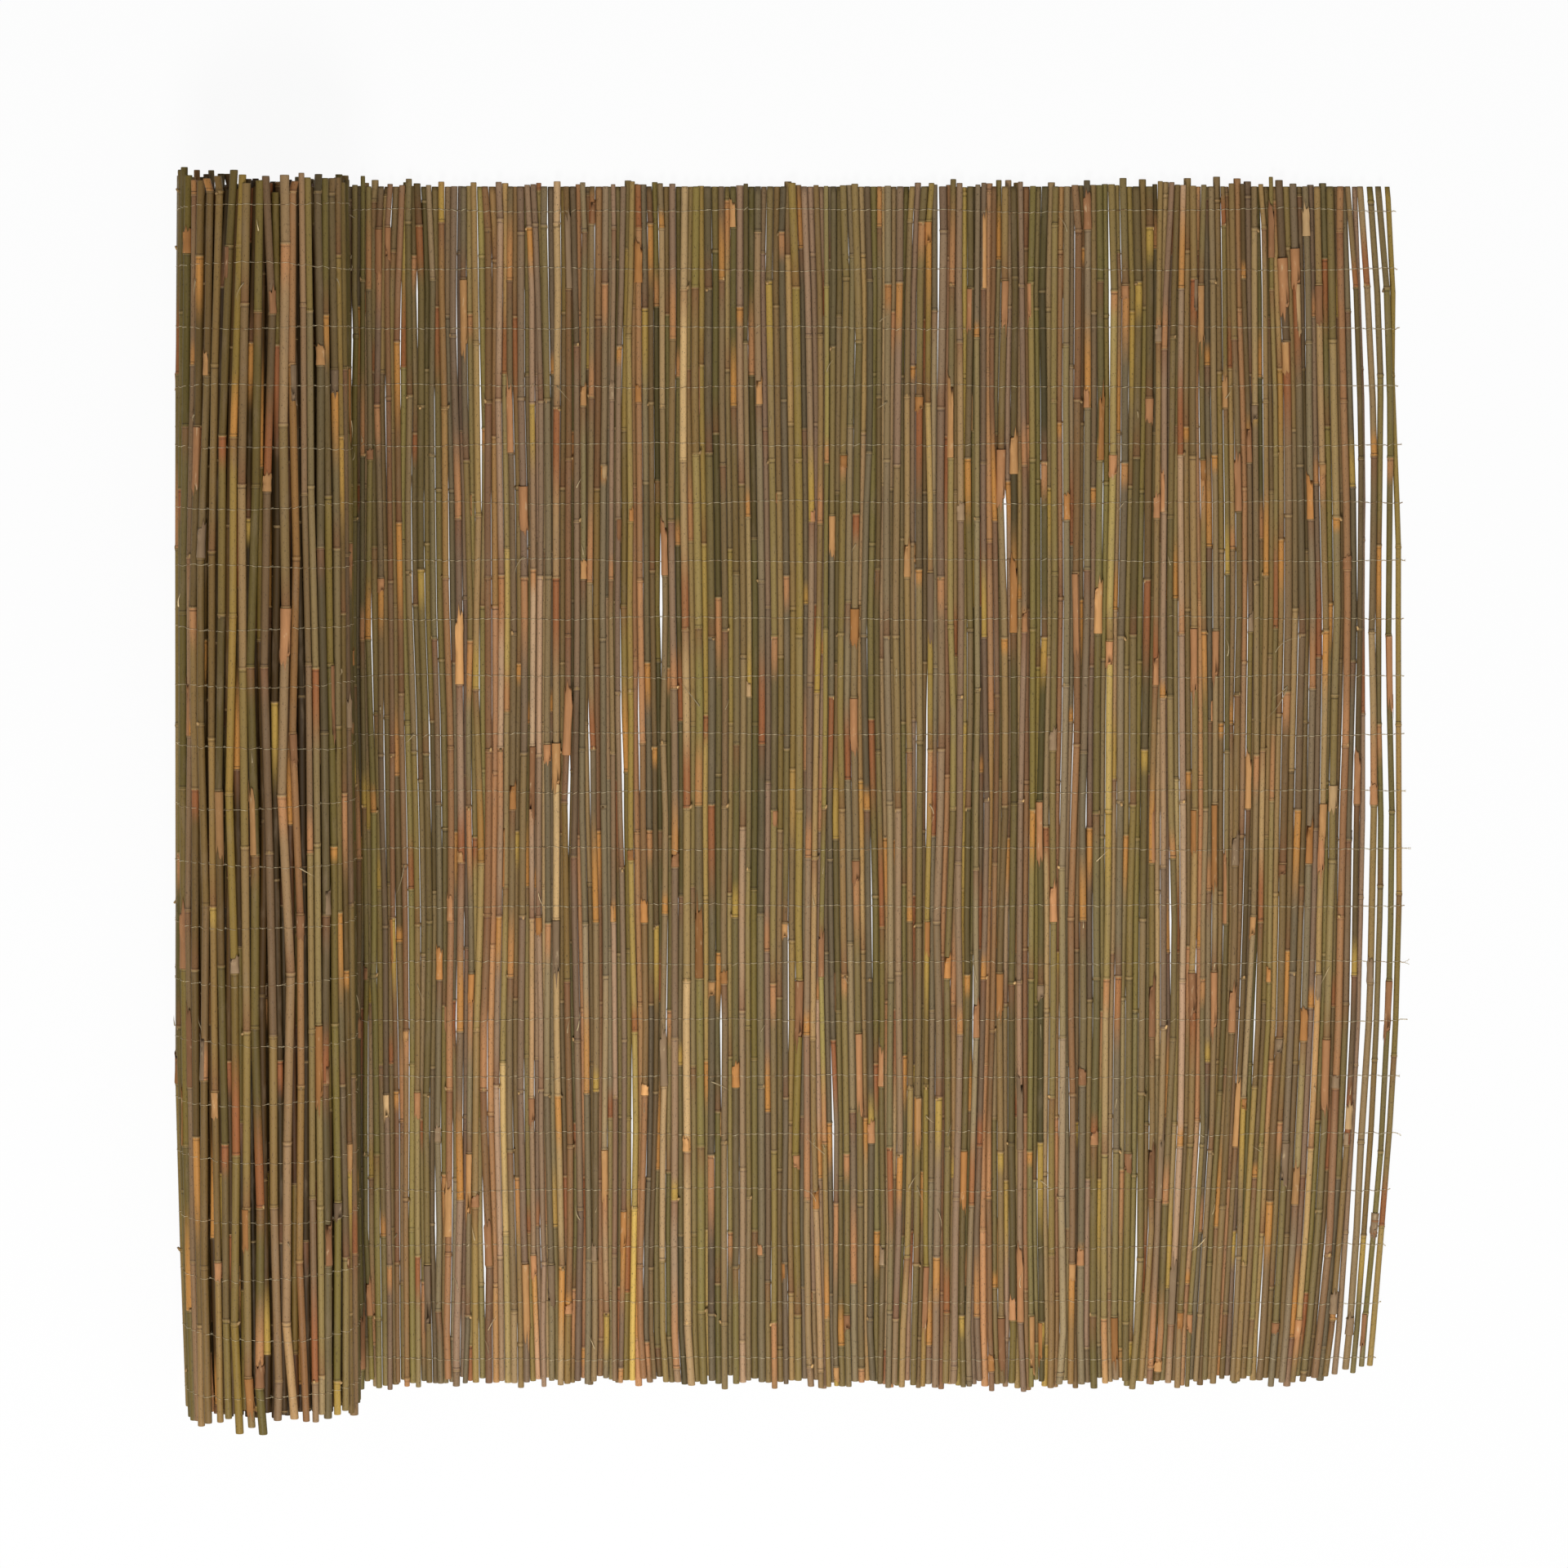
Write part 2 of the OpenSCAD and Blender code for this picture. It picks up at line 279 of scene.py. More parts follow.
ROLL_STEP, ROLL_GAP = 0.0036, 0.0004
rolled = canes[len(flat) - 2:]
for turn in range(16):
    moved = 0
    for one, two, three in zip(rolled, rolled[1:], rolled[2:]):
        if one["turn"] > 1:
            break
        moved += settle(one, two, ROLL_STEP)
        moved += settle(one, three, one["r0"] + three["r0"] + ROLL_GAP)
    if not moved:
        break
print("rounds of settling:", turn + 1, " still close:", moved)

# %% [markdown]
# ## The mat as a whole
# The free edge isn't straight: its last canes bow out at the middle and draw in at both
# ends, most at the foot. The roll's outer side draws in a little at its foot too, and on its
# top the canes lean towards the sheet at their head ends. A cane that crosses over its
# neighbour is lifted too, as it is on the real mat.

# %% Bow the edge and the roll, and lift what crosses
EDGE_X, BOW_FROM = max(c["a"][0] for c in canes), 0.40
ROLL_X, ROLL_TOP = ROLL_AXIS[0][0], 0.26


def bow(p):
    """Shift in x of points of the mat, by where they lie."""
    x, y = p[:, 0], p[:, 1]
    near_edge = ((x - BOW_FROM) / (EDGE_X - BOW_FROM)).clip(0, 1) ** 1.4
    foot, head = ((-0.30 - y) / 0.70).clip(0, 1), ((y - 0.25) / 0.75).clip(0, 1)
    shift = -near_edge * (0.050 * foot ** 1.6 + 0.030 * head ** 1.5)
    off, high = x - ROLL_X, (p[:, 2] / ROLL_TOP).clip(0, 1) ** 3
    right_lean = 0.030 * np.exp(-((off + 0.06) / 0.08) ** 2)
    left_lean = 0.008 * np.exp(-((off - 0.11) / 0.05) ** 2)
    shift += (right_lean - left_lean) * high * ((y - 0.20) / 0.80).clip(0, 1)
    left = (-off / 0.15).clip(0, 1) ** 2
    drawn_in = 0.014 - 0.010 * ((0.25 - y) / 0.6).clip(0, 1)
    return shift - 0.005 * near_edge + left * (drawn_in + 0.012 * foot ** 2 + 0.010 * head ** 2)


def lift_of(c, other):
    """How far cane c must rise at its stations to pass over its neighbour."""
    p = c["a"] + c["at"][:, None] * c["axis"]
    g = (p[:, 1] - other["a"][1]) / other["axis"][1]
    q = other["a"] + g[:, None] * other["axis"]
    moved_by = np.interp(g, other["at"], other["side"]) - c["side"]
    across = np.abs((q - p) @ c["along"] + moved_by)
    deep = np.abs((q - p) @ c["own"])
    reach = c["r0"] + c["r_more"] + other["r0"]
    return np.sqrt((reach ** 2 - across ** 2).clip(0)) - deep


for c in canes:
    lift = np.zeros(len(c["at"]))
    if is_front(c):
        near = [canes[j] for j in (c["i"] - 1, c["i"] + 1) if 0 <= j < len(canes)]
        lift = np.max([lift_of(c, o) for o in near], axis=0).clip(0, 0.0018)
        lift += SEED.uniform(0, 0.0005, len(lift))
    c["bend"] = c["side"][:, None] * c["along"] + lift[:, None] * c["own"]
    c["bend"][:, 0] += bow(c["a"] + c["at"][:, None] * c["axis"])


def centre_at(c, h):
    """Middle of a cane, and its radius between the rings, h metres from its foot."""
    h = np.asarray(h, float)
    p = c["a"] + h[..., None] * c["axis"]
    p = p + np.stack([np.interp(h, c["at"], c["bend"][:, k]) for k in range(3)], axis=-1)
    return p, c["r0"] + c["r_more"] + (c["r1"] - c["r0"]) * h / c["length"]


print("most sideways shift", round(1000 * max(abs(c["side"]).max() for c in canes), 1), "mm")

# %% [markdown]
# ## What each cane is coloured
# The mat is olive brown as a whole. Canes were cut from many plants, so each has a tone of
# its own, and each internode drifts from it, because its skin was covered by its sheath for
# a different time. The roll gets painted shade: the canes inside it are made far darker and
# browner, and its outer canes a little darker and warmer. The sheet's lower canes get painted
# light, a little lighter than its upper ones, against the shade that the upper ones cast.

# %% Palette of the weathered canes, as sRGB
def linear(rgb):
    v = np.asarray(rgb, float) / 255
    return np.where(v <= 0.04045, v / 12.92, ((v + 0.055) / 1.055) ** 2.4)


CANE_TONES = [
    ((124, 105, 64), 20), ((134, 107, 68), 18), ((120, 106, 60), 12), ((126, 110, 84), 15),
    ((142, 114, 92), 15), ((148, 106, 72), 8), ((150, 124, 64), 4), ((160, 132, 94), 8),
]
TONE_RGB = np.array([linear(t) for t, _ in CANE_TONES])
TONE_ODDS = np.array([w for _, w in CANE_TONES], float) / sum(w for _, w in CANE_TONES)


def colour_cane(c):
    n = len(c["at"])
    tone = TONE_RGB[SEED.choice(len(TONE_RGB), p=TONE_ODDS)]
    other = TONE_RGB[SEED.choice(len(TONE_RGB), p=TONE_ODDS, size=n)]
    part = SEED.uniform(0, 0.45, n)[:, None]
    light = np.exp(SEED.normal(0, 0.22)) * np.exp(SEED.normal(0, 0.17, n))[:, None]
    if c["turn"] < 0:
        # Painted light: the sheet's lower canes are a little lighter, against the upper ones'
        # shade.
        light = light * ([1.06, 1.05, 0.96] if c["level"] == 1 else [1.08, 1.07, 0.98])
    else:
        # Painted shade: the roll's outer canes darker and warmer, the canes inside it far darker.
        light = light * ([0.84, 0.80, 0.60] if is_front(c) else [0.27, 0.21, 0.11])
    c["tones"] = (tone * (1 - part) + other * part) * light
    c["picks"] = SEED.uniform(0, 1, n)


for c in canes:
    colour_cane(c)

# %% [markdown]
# ## The cane itself
# A node shows as a flare, a sharp ridge where the sheath grew, a groove behind it and a
# second soft swelling. That outline is written once, as steps along the cane and shares of
# the ring's height, and every node of every cane is a copy of it. Hundreds of canes are
# quickest as joined rings of points, so they are made as arrays. Canes inside the roll show
# only their ends and get a simpler outline. Both ends are cut: a pale ring of wood round a
# bore, which is painted dark brown as the shade inside the hollow.

# %% Build the canes of one node as one mesh
RING_HEIGHT = 0.001
NODE_FINE = np.array([(-4.6, 0.0), (-1.3, 0.55), (-0.1, 1.0), (0.7, 0.12), (2.2, 0.34),
                      (5.4, 0.0)]) / [1000, 1]
NODE_PLAIN = np.array([(-2.4, 0.0), (0.0, 1.0), (2.4, 0.0)]) / [1000, 1]
BORE, BORE_DEPTH = 0.47, 0.010


def cane_rings(c):
    """Stations of a cane: distance from the foot, swelling, and which internode."""
    outline = NODE_FINE if c["seen"] else NODE_PLAIN
    low, high = c["trim"][0], c["length"] - c["trim"][1]
    stations = [(low, 0.0, 0), (low + 0.0016, 0.0, 0)]
    for j, ring in enumerate(c["rings"]):
        for step, share in outline[::c["grows"]]:
            place = ring + step * c["grows"]
            stations.append((place, share * RING_HEIGHT, j if place < ring else j + 1))
    stations += [(high - 0.0016, 0.0, len(c["rings"])), (high, 0.0, len(c["rings"]))]
    stations += [(h, 0.0, int(np.searchsorted(c["rings"], h))) for h in c["extra"]]
    return np.array(sorted(stations))


def cane_arrays(c):
    """Points, quads and marks of one cane, closed at both ends by its bored cuts."""
    sides = 10 if c["seen"] else 8
    st = cane_rings(c)
    h, swell, inter = st[:, 0], st[:, 1], st[:, 2].astype(int)
    mid, radius = centre_at(c, h)
    radius = radius + swell
    radius[[0, -1]] -= 0.0003
    # The bore goes in from each cut, so its rings come before the first and after the last.
    for where, hh in ((0, np.array([h[0] + BORE_DEPTH, h[0]])),
                      (1, np.array([h[-1], h[-1] - BORE_DEPTH]))):
        m, rr = centre_at(c, hh)
        k = np.full(2, inter[0] if where == 0 else inter[-1])
        if where == 0:
            h, mid, radius = np.r_[hh, h], np.vstack([m, mid]), np.r_[rr * BORE, radius]
            inter = np.r_[k, inter]
        else:
            h, mid, radius = np.r_[h, hh], np.vstack([mid, m]), np.r_[radius, rr * BORE]
            inter = np.r_[inter, k]
    turn = c["picks"][0] * 6.283 + np.arange(sides) * 2 * math.pi / sides
    u = np.cross(c["axis"], c["own"])
    u /= np.linalg.norm(u)
    v = np.cross(u, c["axis"])
    rim = np.cos(turn)[:, None] * u + np.sin(turn)[:, None] * v
    pts = (mid[:, None, :] + radius[:, None, None] * rim[None]).reshape(-1, 3)
    n = len(h)
    a = (np.arange(n - 1)[:, None] * sides + np.arange(sides)[None]).ravel()
    b = (np.arange(n - 1)[:, None] * sides + (np.arange(sides)[None] + 1) % sides).ravel()
    quads = np.column_stack([a, b, b + sides, a + sides])
    cut = np.zeros(len(quads))
    cut[:2 * sides] = cut[-2 * sides:] = 1
    cut[:sides] = cut[-sides:] = 2
    # Distance past the last node and before the next one, the way that the stem grew.
    edges = np.r_[-0.2, c["rings"], c["length"] + 0.2]
    lo, hi = h - edges[inter], edges[np.minimum(inter + 1, len(edges) - 1)] - h
    after, before = (lo, hi) if c["grows"] > 0 else (hi, lo)
    marks = np.column_stack([after.clip(0), before.clip(0), c["picks"][inter]])
    return pts, quads, cut, np.repeat(marks, sides, 0), np.repeat(c["tones"][inter], sides, 0)


def mesh_object(name, pts, faces):
    """A smooth mesh object from an array of points and a list of faces."""
    me = bpy.data.meshes.new(name)
    me.vertices.add(len(pts))
    me.vertices.foreach_set("co", np.asarray(pts, np.float32).ravel())
    sizes = np.array([len(f) for f in faces])
    loops = np.concatenate([np.ravel(f) for f in faces])
    me.loops.add(len(loops))
    me.loops.foreach_set("vertex_index", loops.astype(np.int32))
    me.polygons.add(len(sizes))
    me.polygons.foreach_set("loop_start", np.r_[0, np.cumsum(sizes)[:-1]].astype(np.int32))
    me.update(calc_edges=True)
    me.polygons.foreach_set("use_smooth", np.full(len(sizes), True))
    me.validate()
    obj = bpy.data.objects.new(name, me)
    bpy.context.scene.collection.objects.link(obj)
    return obj


def point_marks(me, name, kind, values, domain="POINT"):
    """Keep one value for each point, or for each face, for the materials to read."""
    layer = me.attributes.new(name, kind, domain)
    field = {"FLOAT": "value", "FLOAT_VECTOR": "vector", "FLOAT_COLOR": "color"}[kind]
    if kind == "FLOAT_COLOR":
        values = np.column_stack([values, np.ones(len(values))])
    layer.data.foreach_set(field, np.asarray(values, np.float32).ravel())


def bore_floors(sides, count):
    """The closing faces at the bottom of the two bores."""
    return [np.arange(sides)[::-1], (count - 1) * sides + np.arange(sides)]


# %% Dress every cane node
pieces = []
total = 0
for name in CANE_NODES:
    all_pts, all_faces, all_cut, all_marks, all_tones, base = [], [], [], [], [], 0
    for c in (c for c in canes if c["node"] == name):
        pts, quads, cut, marks, tones = cane_arrays(c)
        sides = 10 if c["seen"] else 8
        all_faces += [*(quads + base)] + [f + base for f in
                                          bore_floors(sides, len(pts) // sides)]
        all_cut.append(np.r_[cut, 2, 2])
        all_pts.append(pts)
        all_marks.append(marks)
        all_tones.append(tones)
        base += len(pts)
    obj = mesh_object(name + "_stems", np.vstack(all_pts), all_faces)
    me = obj.data
    point_marks(me, "cane_marks", "FLOAT_VECTOR", np.vstack(all_marks))
    point_marks(me, "cane_tone", "FLOAT_COLOR", np.vstack(all_tones))
    point_marks(me, "cut", "FLOAT", np.concatenate(all_cut), "FACE")
    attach(obj, "root")
    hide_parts(name)
    pieces.append(obj)
    total += sum(len(p.vertices) - 2 for p in me.polygons)
print(len(pieces), "cane pieces,", total, "triangles")

# %% [markdown]
# ## The binding wires
# Every row is two thin wires. One passes over a cane while the other passes under it, they
# cross in the gap, and change places at the next cane, so each cane sits in its own loop of
# wire. From above only short bright dashes show, one on each upper cane. A wire is followed
# as a line of points: down to the gap on one side of a cane, round the cane, and down to the
# next gap. A three-sided tube is drawn along the line, because the wire is thinner than a
# pixel and there are tens of thousands of crossings.

# %% Follow one wire round the canes
WIRE_RADIUS = 0.0005
ROW_Y = [(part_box(n)[0].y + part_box(n)[1].y) / 2 for n in WIRE_NODES]


def row_wander(y, i):
    """How far a row strays from its straight line at cane i."""
    free = 1.0 if canes[i]["turn"] < 0 else 1.5
    return free * (0.0021 * math.sin(i * 0.071 + y * 40) + 0.0013 * math.sin(i * 0.19 + y * 91))


def wire_path(y, strand):
    """Points of one strand of the row at y, from the free edge to the roll's inside."""
    spots = []
    for c in canes:
        yy = y + row_wander(y, c["i"])
        p, r = centre_at(c, np.array([(yy - c["a"][1]) / c["axis"][1]]))
        spots.append((p[0], r[0], yy))
    gaps = [(a[0] * b[1] + b[0] * a[1]) / (a[1] + b[1]) for a, b in zip(spots, spots[1:])]
    gaps = [spots[0][0] - canes[0]["along"] * (spots[0][1] + 0.001)] + gaps
    gaps.append(spots[-1][0] + canes[-1]["along"] * (spots[-1][1] + 0.001))
    path = []
    for c, (p, r, yy), g0 in zip(canes, spots, gaps):
        over = (c["level"] == 1) == (strand == 0)
        face = c["own"] if over else -c["own"]
        side = 0.0005 if strand == 0 else -0.0005
        reach = r + WIRE_RADIUS + 0.0001
        drift, slant = SEED.uniform(-0.001, 0.001), SEED.normal(0.0004, 0.0012)
        if over:
            turns = (0.66, 1.25, 1.89, 2.48) if c["seen"] else (1.57,)
        else:
            turns = (1.57,)
        path.append(np.array([g0[0], yy + side, g0[2]]))
        for t in turns:
            q = p - math.cos(t) * reach * c["along"] + math.sin(t) * reach * face
            path.append(np.array([q[0], yy + side + drift * math.sin(t) + slant * math.cos(t),
                                  q[2]]))
    path.append(np.array([gaps[-1][0], path[-1][1], gaps[-1][2]]))
    return np.array(path)


def tube(path, radius, sides=3):
    """Points and quads of a thin tube along a path, closed at both ends."""
    d = np.gradient(path, axis=0)
    d /= np.linalg.norm(d, axis=1, keepdims=True) + 1e-12
    up = np.tile([0.0, 1.0, 0.0], (len(path), 1))
    u = np.cross(d, up)
    u /= np.linalg.norm(u, axis=1, keepdims=True) + 1e-12
    v = np.cross(u, d)
    t = np.arange(sides) * 2 * math.pi / sides
    ring = np.cos(t)[None, :, None] * u[:, None] + np.sin(t)[None, :, None] * v[:, None]
    pts = (path[:, None] + np.asarray(radius).reshape(-1, 1, 1) * ring).reshape(-1, 3)
    a = (np.arange(len(path) - 1)[:, None] * sides + np.arange(sides)).ravel()
    b = (np.arange(len(path) - 1)[:, None] * sides + (np.arange(sides) + 1) % sides).ravel()
    quads = np.column_stack([a, a + sides, b + sides, b])
    caps = [np.arange(sides), (len(path) - 1) * sides + np.arange(sides)[::-1]]
    return pts, quads, caps


# %% Dress every wire row
def edge_twist(y, strand, start, long):
    """The twisted tail of a row at the free edge, a few turns of both wires."""
    bend = SEED.uniform(-0.5, 0.5)
    rows = []
    for s in np.linspace(0, 1, 15):
        a = s * 5.5 * math.pi + strand * math.pi
        rows.append([start[0] + 0.001 + s * long, y + 0.00055 * math.cos(a) + bend * s * s * long,
                     start[2] + 0.00055 * math.sin(a) + 0.002 * s])
    return np.array(rows[::-1])


wire_total = 0
for name, y in zip(WIRE_NODES, ROW_Y):
    pts, faces, base = [], [], 0
    tail_start = centre_at(canes[0], y - canes[0]["a"][1])[0] + [canes[0]["r0"] + 0.0015, 0, 0]
    tail = SEED.choice([0.0015, 0.004, 0.012], p=[0.6, 0.3, 0.1])
    for strand in (0, 1):
        path = np.vstack([edge_twist(y, strand, tail_start, tail), wire_path(y, strand)])
        p, quads, caps = tube(path, WIRE_RADIUS)
        pts.append(p)
        faces += [*(quads + base)] + [f + base for f in caps]
        base += len(p)
    obj = mesh_object(name + "_twisted", np.vstack(pts), faces)
    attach(obj, "root")
    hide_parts(name)
    pieces.append(obj)
    wire_total += sum(len(p.vertices) - 2 for p in obj.data.polygons)
print(len(WIRE_NODES), "wire rows,", wire_total, "triangles")

# %% [markdown]
# ## Old sheaths on the canes
# Each internode of bamboo grows inside a papery sheath that is fixed at the node below. On
# cut canes many sheaths are torn to a stub or hang on for a hand's length, wider and paler
# than the stem, with a ragged end. Four are modelled: an open tube with a long slit, its far
# end pulled into uneven teeth and a little outwards, and given a thickness. The rest are
# copies, stretched to their cane and length.

# %% Model the sheaths
def deselect():
    """Start the next primitive with nothing selected."""
    for o in bpy.context.selected_objects:
        o.select_set(False)


def take_mesh(obj):
    """Points and faces of a finished template, which is then deleted."""
    me = obj.data
    pts = np.array([v.co[:] for v in me.vertices])
    faces = [np.array(p.vertices[:]) for p in me.polygons]
    bpy.data.objects.remove(obj)
    bpy.data.meshes.remove(me)
    return pts, faces


def apply_solidify(obj, thick):
    mod = obj.modifiers.new("thickness", "SOLIDIFY")
    mod.thickness, mod.offset = thick, 1.0
    bpy.ops.object.modifier_apply(modifier=mod.name)


def sheath_template(open_sides, teeth, lean):
    """A torn sheath of 1 m radius and 1 m length, upright along Z, its root at 0."""
    deselect()
    bpy.ops.mesh.primitive_cylinder_add(vertices=18, radius=1, depth=1, end_fill_type="NOTHING",
                                        location=(0, 0, 0.5))
    bpy.ops.object.transform_apply(location=True, rotation=False, scale=False)
    obj = bpy.context.active_object
    bpy.ops.object.mode_set(mode="EDIT")
    bpy.ops.mesh.select_mode(type="FACE")
    bpy.ops.mesh.select_all(action="DESELECT")
    bpy.ops.object.mode_set(mode="OBJECT")
    for face in obj.data.polygons:
        c = face.center
        face.select = abs(math.atan2(c.y, c.x)) > math.pi * (1 - open_sides / 18)
    bpy.ops.object.mode_set(mode="EDIT")
    bpy.ops.mesh.delete(type="FACE")
    bpy.ops.mesh.select_all(action="SELECT")
    bpy.ops.mesh.bisect(plane_co=(0, 0, 0.35), plane_no=(0, 0, 1))
    bpy.ops.mesh.select_all(action="SELECT")
    bpy.ops.mesh.bisect(plane_co=(0, 0, 0.75), plane_no=(0, 0, 1))
    bpy.ops.object.mode_set(mode="OBJECT")
    for v in obj.data.vertices:
        around = math.atan2(v.co.y, v.co.x)
        if v.co.z > 0.9:
            v.co.z -= teeth * (0.5 + 0.5 * math.sin(around * 7 + open_sides)) + lean * around \
                + 0.16 * abs(around)
            v.co.x *= 1.14
            v.co.y *= 1.14
        elif v.co.z > 0.7:
            v.co.z += 0.5 * lean * around - 0.05 * abs(around)
        elif v.co.z < 0.1:
            v.co.x *= 1.10
            v.co.y *= 1.10
    apply_solidify(obj, 0.05)
    return take_mesh(obj)


SHEATHS = [sheath_template(8, 0.16, 0.10), sheath_template(10, 0.26, -0.12),
           sheath_template(12, 0.34, 0.0), sheath_template(6, 0.20, -0.06)]
print("sheath templates:", [len(f) for _, f in SHEATHS], "faces")

# %% [markdown]
# ## Branch stubs
# Branches were trimmed from many nodes and left a short slanting stub or a bud scar.

# %% Model a stub and a knot
def stub_template(tilt, long):
    """A stub on the side of a stem of 1 m radius, leaning along Z."""
    deselect()
    bpy.ops.mesh.primitive_cone_add(vertices=6, radius1=0.50, radius2=0.30, depth=long,
                                    location=(1.0 + 0.25 * long, 0, 0.45 * long),
                                    rotation=(0, math.radians(tilt), 0))
    bpy.ops.object.transform_apply(location=True, rotation=True, scale=True)
    return take_mesh(bpy.context.active_object)


def knot_template():
    deselect()
    bpy.ops.mesh.primitive_uv_sphere_add(segments=8, ring_count=5, radius=0.42,
                                         location=(0.88, 0, 0.25))
    bpy.ops.transform.resize(value=(0.8, 1.0, 1.7))
    bpy.ops.object.transform_apply(location=True, rotation=True, scale=True)
    return take_mesh(bpy.context.active_object)


STUBS = [stub_template(35, 1.1), stub_template(50, 0.8), knot_template(), knot_template()]
print("stub templates:", [len(f) for _, f in STUBS], "faces")

# %% Set the templates on the canes
def set_on(c, template, h, long, wide, turn):
    """Copy a template onto cane c at h, pointing the way that the stem grew."""
    pts, faces = template
    c0, r = centre_at(c, np.array([h]))
    c1, _ = centre_at(c, np.array([h + 0.05 * c["grows"]]))
    z = (c1[0] - c0[0]) / np.linalg.norm(c1[0] - c0[0])
    x = np.cos(turn) * c["own"] + np.sin(turn) * np.cross(c["own"], z)
    x = x - (x @ z) * z
    x /= np.linalg.norm(x)
    m = np.column_stack([x * (r[0] + wide), np.cross(z, x) * (r[0] + wide), z * long])
    return c0[0] + pts @ m.T, faces


class Batch:
    """Many copied templates, to be made one mesh."""

    def __init__(self):
        self.pts, self.faces, self.tones, self.spots, self.base = [], [], [], [], 0

    def add(self, made, tone, spots):
        pts, faces = made
        self.pts.append(pts)
        self.faces += [f + self.base for f in faces]
        self.tones.append(np.tile(tone, (len(pts), 1)))
        self.spots.append(spots)
        self.base += len(pts)

    def build(self, name):
        obj = mesh_object(name, np.vstack(self.pts), self.faces)
        point_marks(obj.data, "cane_tone", "FLOAT_COLOR", np.vstack(self.tones))
        point_marks(obj.data, "cane_marks", "FLOAT_VECTOR", np.vstack(self.spots))
        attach(obj, "root")
        pieces.append(obj)
        print(name, sum(len(p.vertices) - 2 for p in obj.data.polygons), "triangles")


HUSK_TONES = [linear(t) for t in ((188, 134, 88), (194, 144, 90), (156, 110, 72),
                                  (196, 160, 112), (180, 124, 68), (148, 122, 92))]
HUSK_ODDS = [0.26, 0.23, 0.19, 0.02, 0.17, 0.13]
# Torn sheaths that stand out: place x and y, length, tone and template, in metres.
HAND_SET = [
    (0.815, 0.885, 0.075, 0, 1), (0.800, 0.870, 0.110, 0, 3), (0.835, 0.905, 0.060, 3, 2),
    (0.775, 0.870, 0.100, 2, 0), (0.875, -0.020, 0.080, 1, 2), (0.885, 0.010, 0.050, 3, 1),
    (0.960, -0.715, 0.035, 5, 2), (0.985, -0.712, 0.032, 2, 2), (0.970, -0.700, 0.040, 5, 1),
    (0.925, -0.560, 0.055, 3, 2), (0.900, -0.870, 0.045, 5, 1), (0.930, -0.905, 0.040, 5, 2),
    (-0.375, 0.060, 0.130, 0, 0), (-0.390, 0.080, 0.090, 1, 1), (-0.565, -0.740, 0.110, 1, 2),
    (-0.255, 0.830, 0.075, 4, 0), (0.345, 0.560, 0.110, 0, 3), (0.355, 0.520, 0.080, 1, 1),
    (-0.435, 0.500, 0.085, 0, 0), (0.100, 0.300, 0.070, 4, 3),
]
husks, stubs = Batch(), Batch()
for c in canes:
    if not c["seen"]:
        continue
    front = is_front(c)
    # Painted shade: sheaths and stubs on the roll are made darker, like its canes.
    roll_painted_shade = 1.0 if c["turn"] < 0 else 0.8
    for h in c["rings"]:
        grow = h + 0.0008 * c["grows"]
        if SEED.random() < (0.26 if front else 0.12):
            long = SEED.choice([SEED.uniform(0.018, 0.05), SEED.uniform(0.05, 0.16)])
            long = min(long, h - 0.01 if c["grows"] < 0 else c["length"] - h - 0.01)
            if long > 0.015:
                which = SEED.integers(len(SHEATHS))
                made = set_on(c, SHEATHS[which], grow, long, 0.0005, SEED.uniform(-1.3, 1.3))
                tone = HUSK_TONES[SEED.choice(len(HUSK_TONES), p=HUSK_ODDS)]
                z = SHEATHS[which][0][:, 2]
                husks.add(made, tone * roll_painted_shade * np.exp(SEED.normal(0, 0.15)),
                          np.column_stack([z, z * long, np.full(len(z), SEED.random())]))
        elif front and SEED.random() < 0.42:
            which = SEED.integers(len(STUBS))
            made = set_on(c, STUBS[which], grow, 0.0055, -0.0002, SEED.uniform(-1.9, 1.9))
            tone = linear((176, 142, 94)) * roll_painted_shade * np.exp(SEED.normal(0, 0.25))
            stubs.add(made, tone, np.tile([0.3, 0.02, SEED.random()], (len(made[0]), 1)))
for x, y, long, kind, which in HAND_SET:
    c = min((c for c in canes if is_front(c)),
            key=lambda c: abs(centre_at(c, np.array([y - c["a"][1]]))[0][0][0] - x))
    made = set_on(c, SHEATHS[which], y - c["a"][1], long, 0.0012, SEED.uniform(-0.4, 0.4))
    z = SHEATHS[which][0][:, 2]
    husks.add(made, HUSK_TONES[kind], np.column_stack([z, z * long, np.full(len(z), 0.4)]))
husks.build("old_sheaths")
stubs.build("branch_stubs")

# %% [markdown]
# ## Loose fibres
# Torn sheaths leave pale shreds that curl up from the mat, and a few split slivers lie across
# the canes. Each is a thin tube that tapers along a curved line.

# %% Scatter the fibres
fibres = Batch()
front_canes = [c for c in canes if is_front(c)]
for n in range(110):
    c = front_canes[SEED.integers(len(front_canes))]
    h = SEED.uniform(0.04, c["length"] - 0.04)
    start, r = centre_at(c, np.array([h]))
    long = SEED.uniform(0.010, 0.035) if n > 9 else SEED.uniform(0.04, 0.07)
    swing, curl = SEED.normal(0, 0.5), SEED.normal(0, 9)
    t = np.linspace(0, 1, 7)[:, None]
    angle = swing + curl * long * t
    across, rise = np.sin(angle), 0.0012 + SEED.uniform(0.0, 0.005) * np.sin(t * 2.6)
    line = start[0] + (r[0] + rise) * c["own"] + long * t * across * c["along"] \
        + long * t * np.cos(angle) * np.array([0, c["grows"], 0])
    width = SEED.uniform(0.0006, 0.0013) * (1.05 - t[:, 0])
    pts, quads, caps = tube(line, width, 4)
    tone = linear((206, 184, 142)) * np.exp(SEED.normal(-0.1, 0.25))
    fibres.add((pts, [*quads, *caps]), tone,
               np.tile([0.5, 0.02, SEED.random()], (len(pts), 1)))
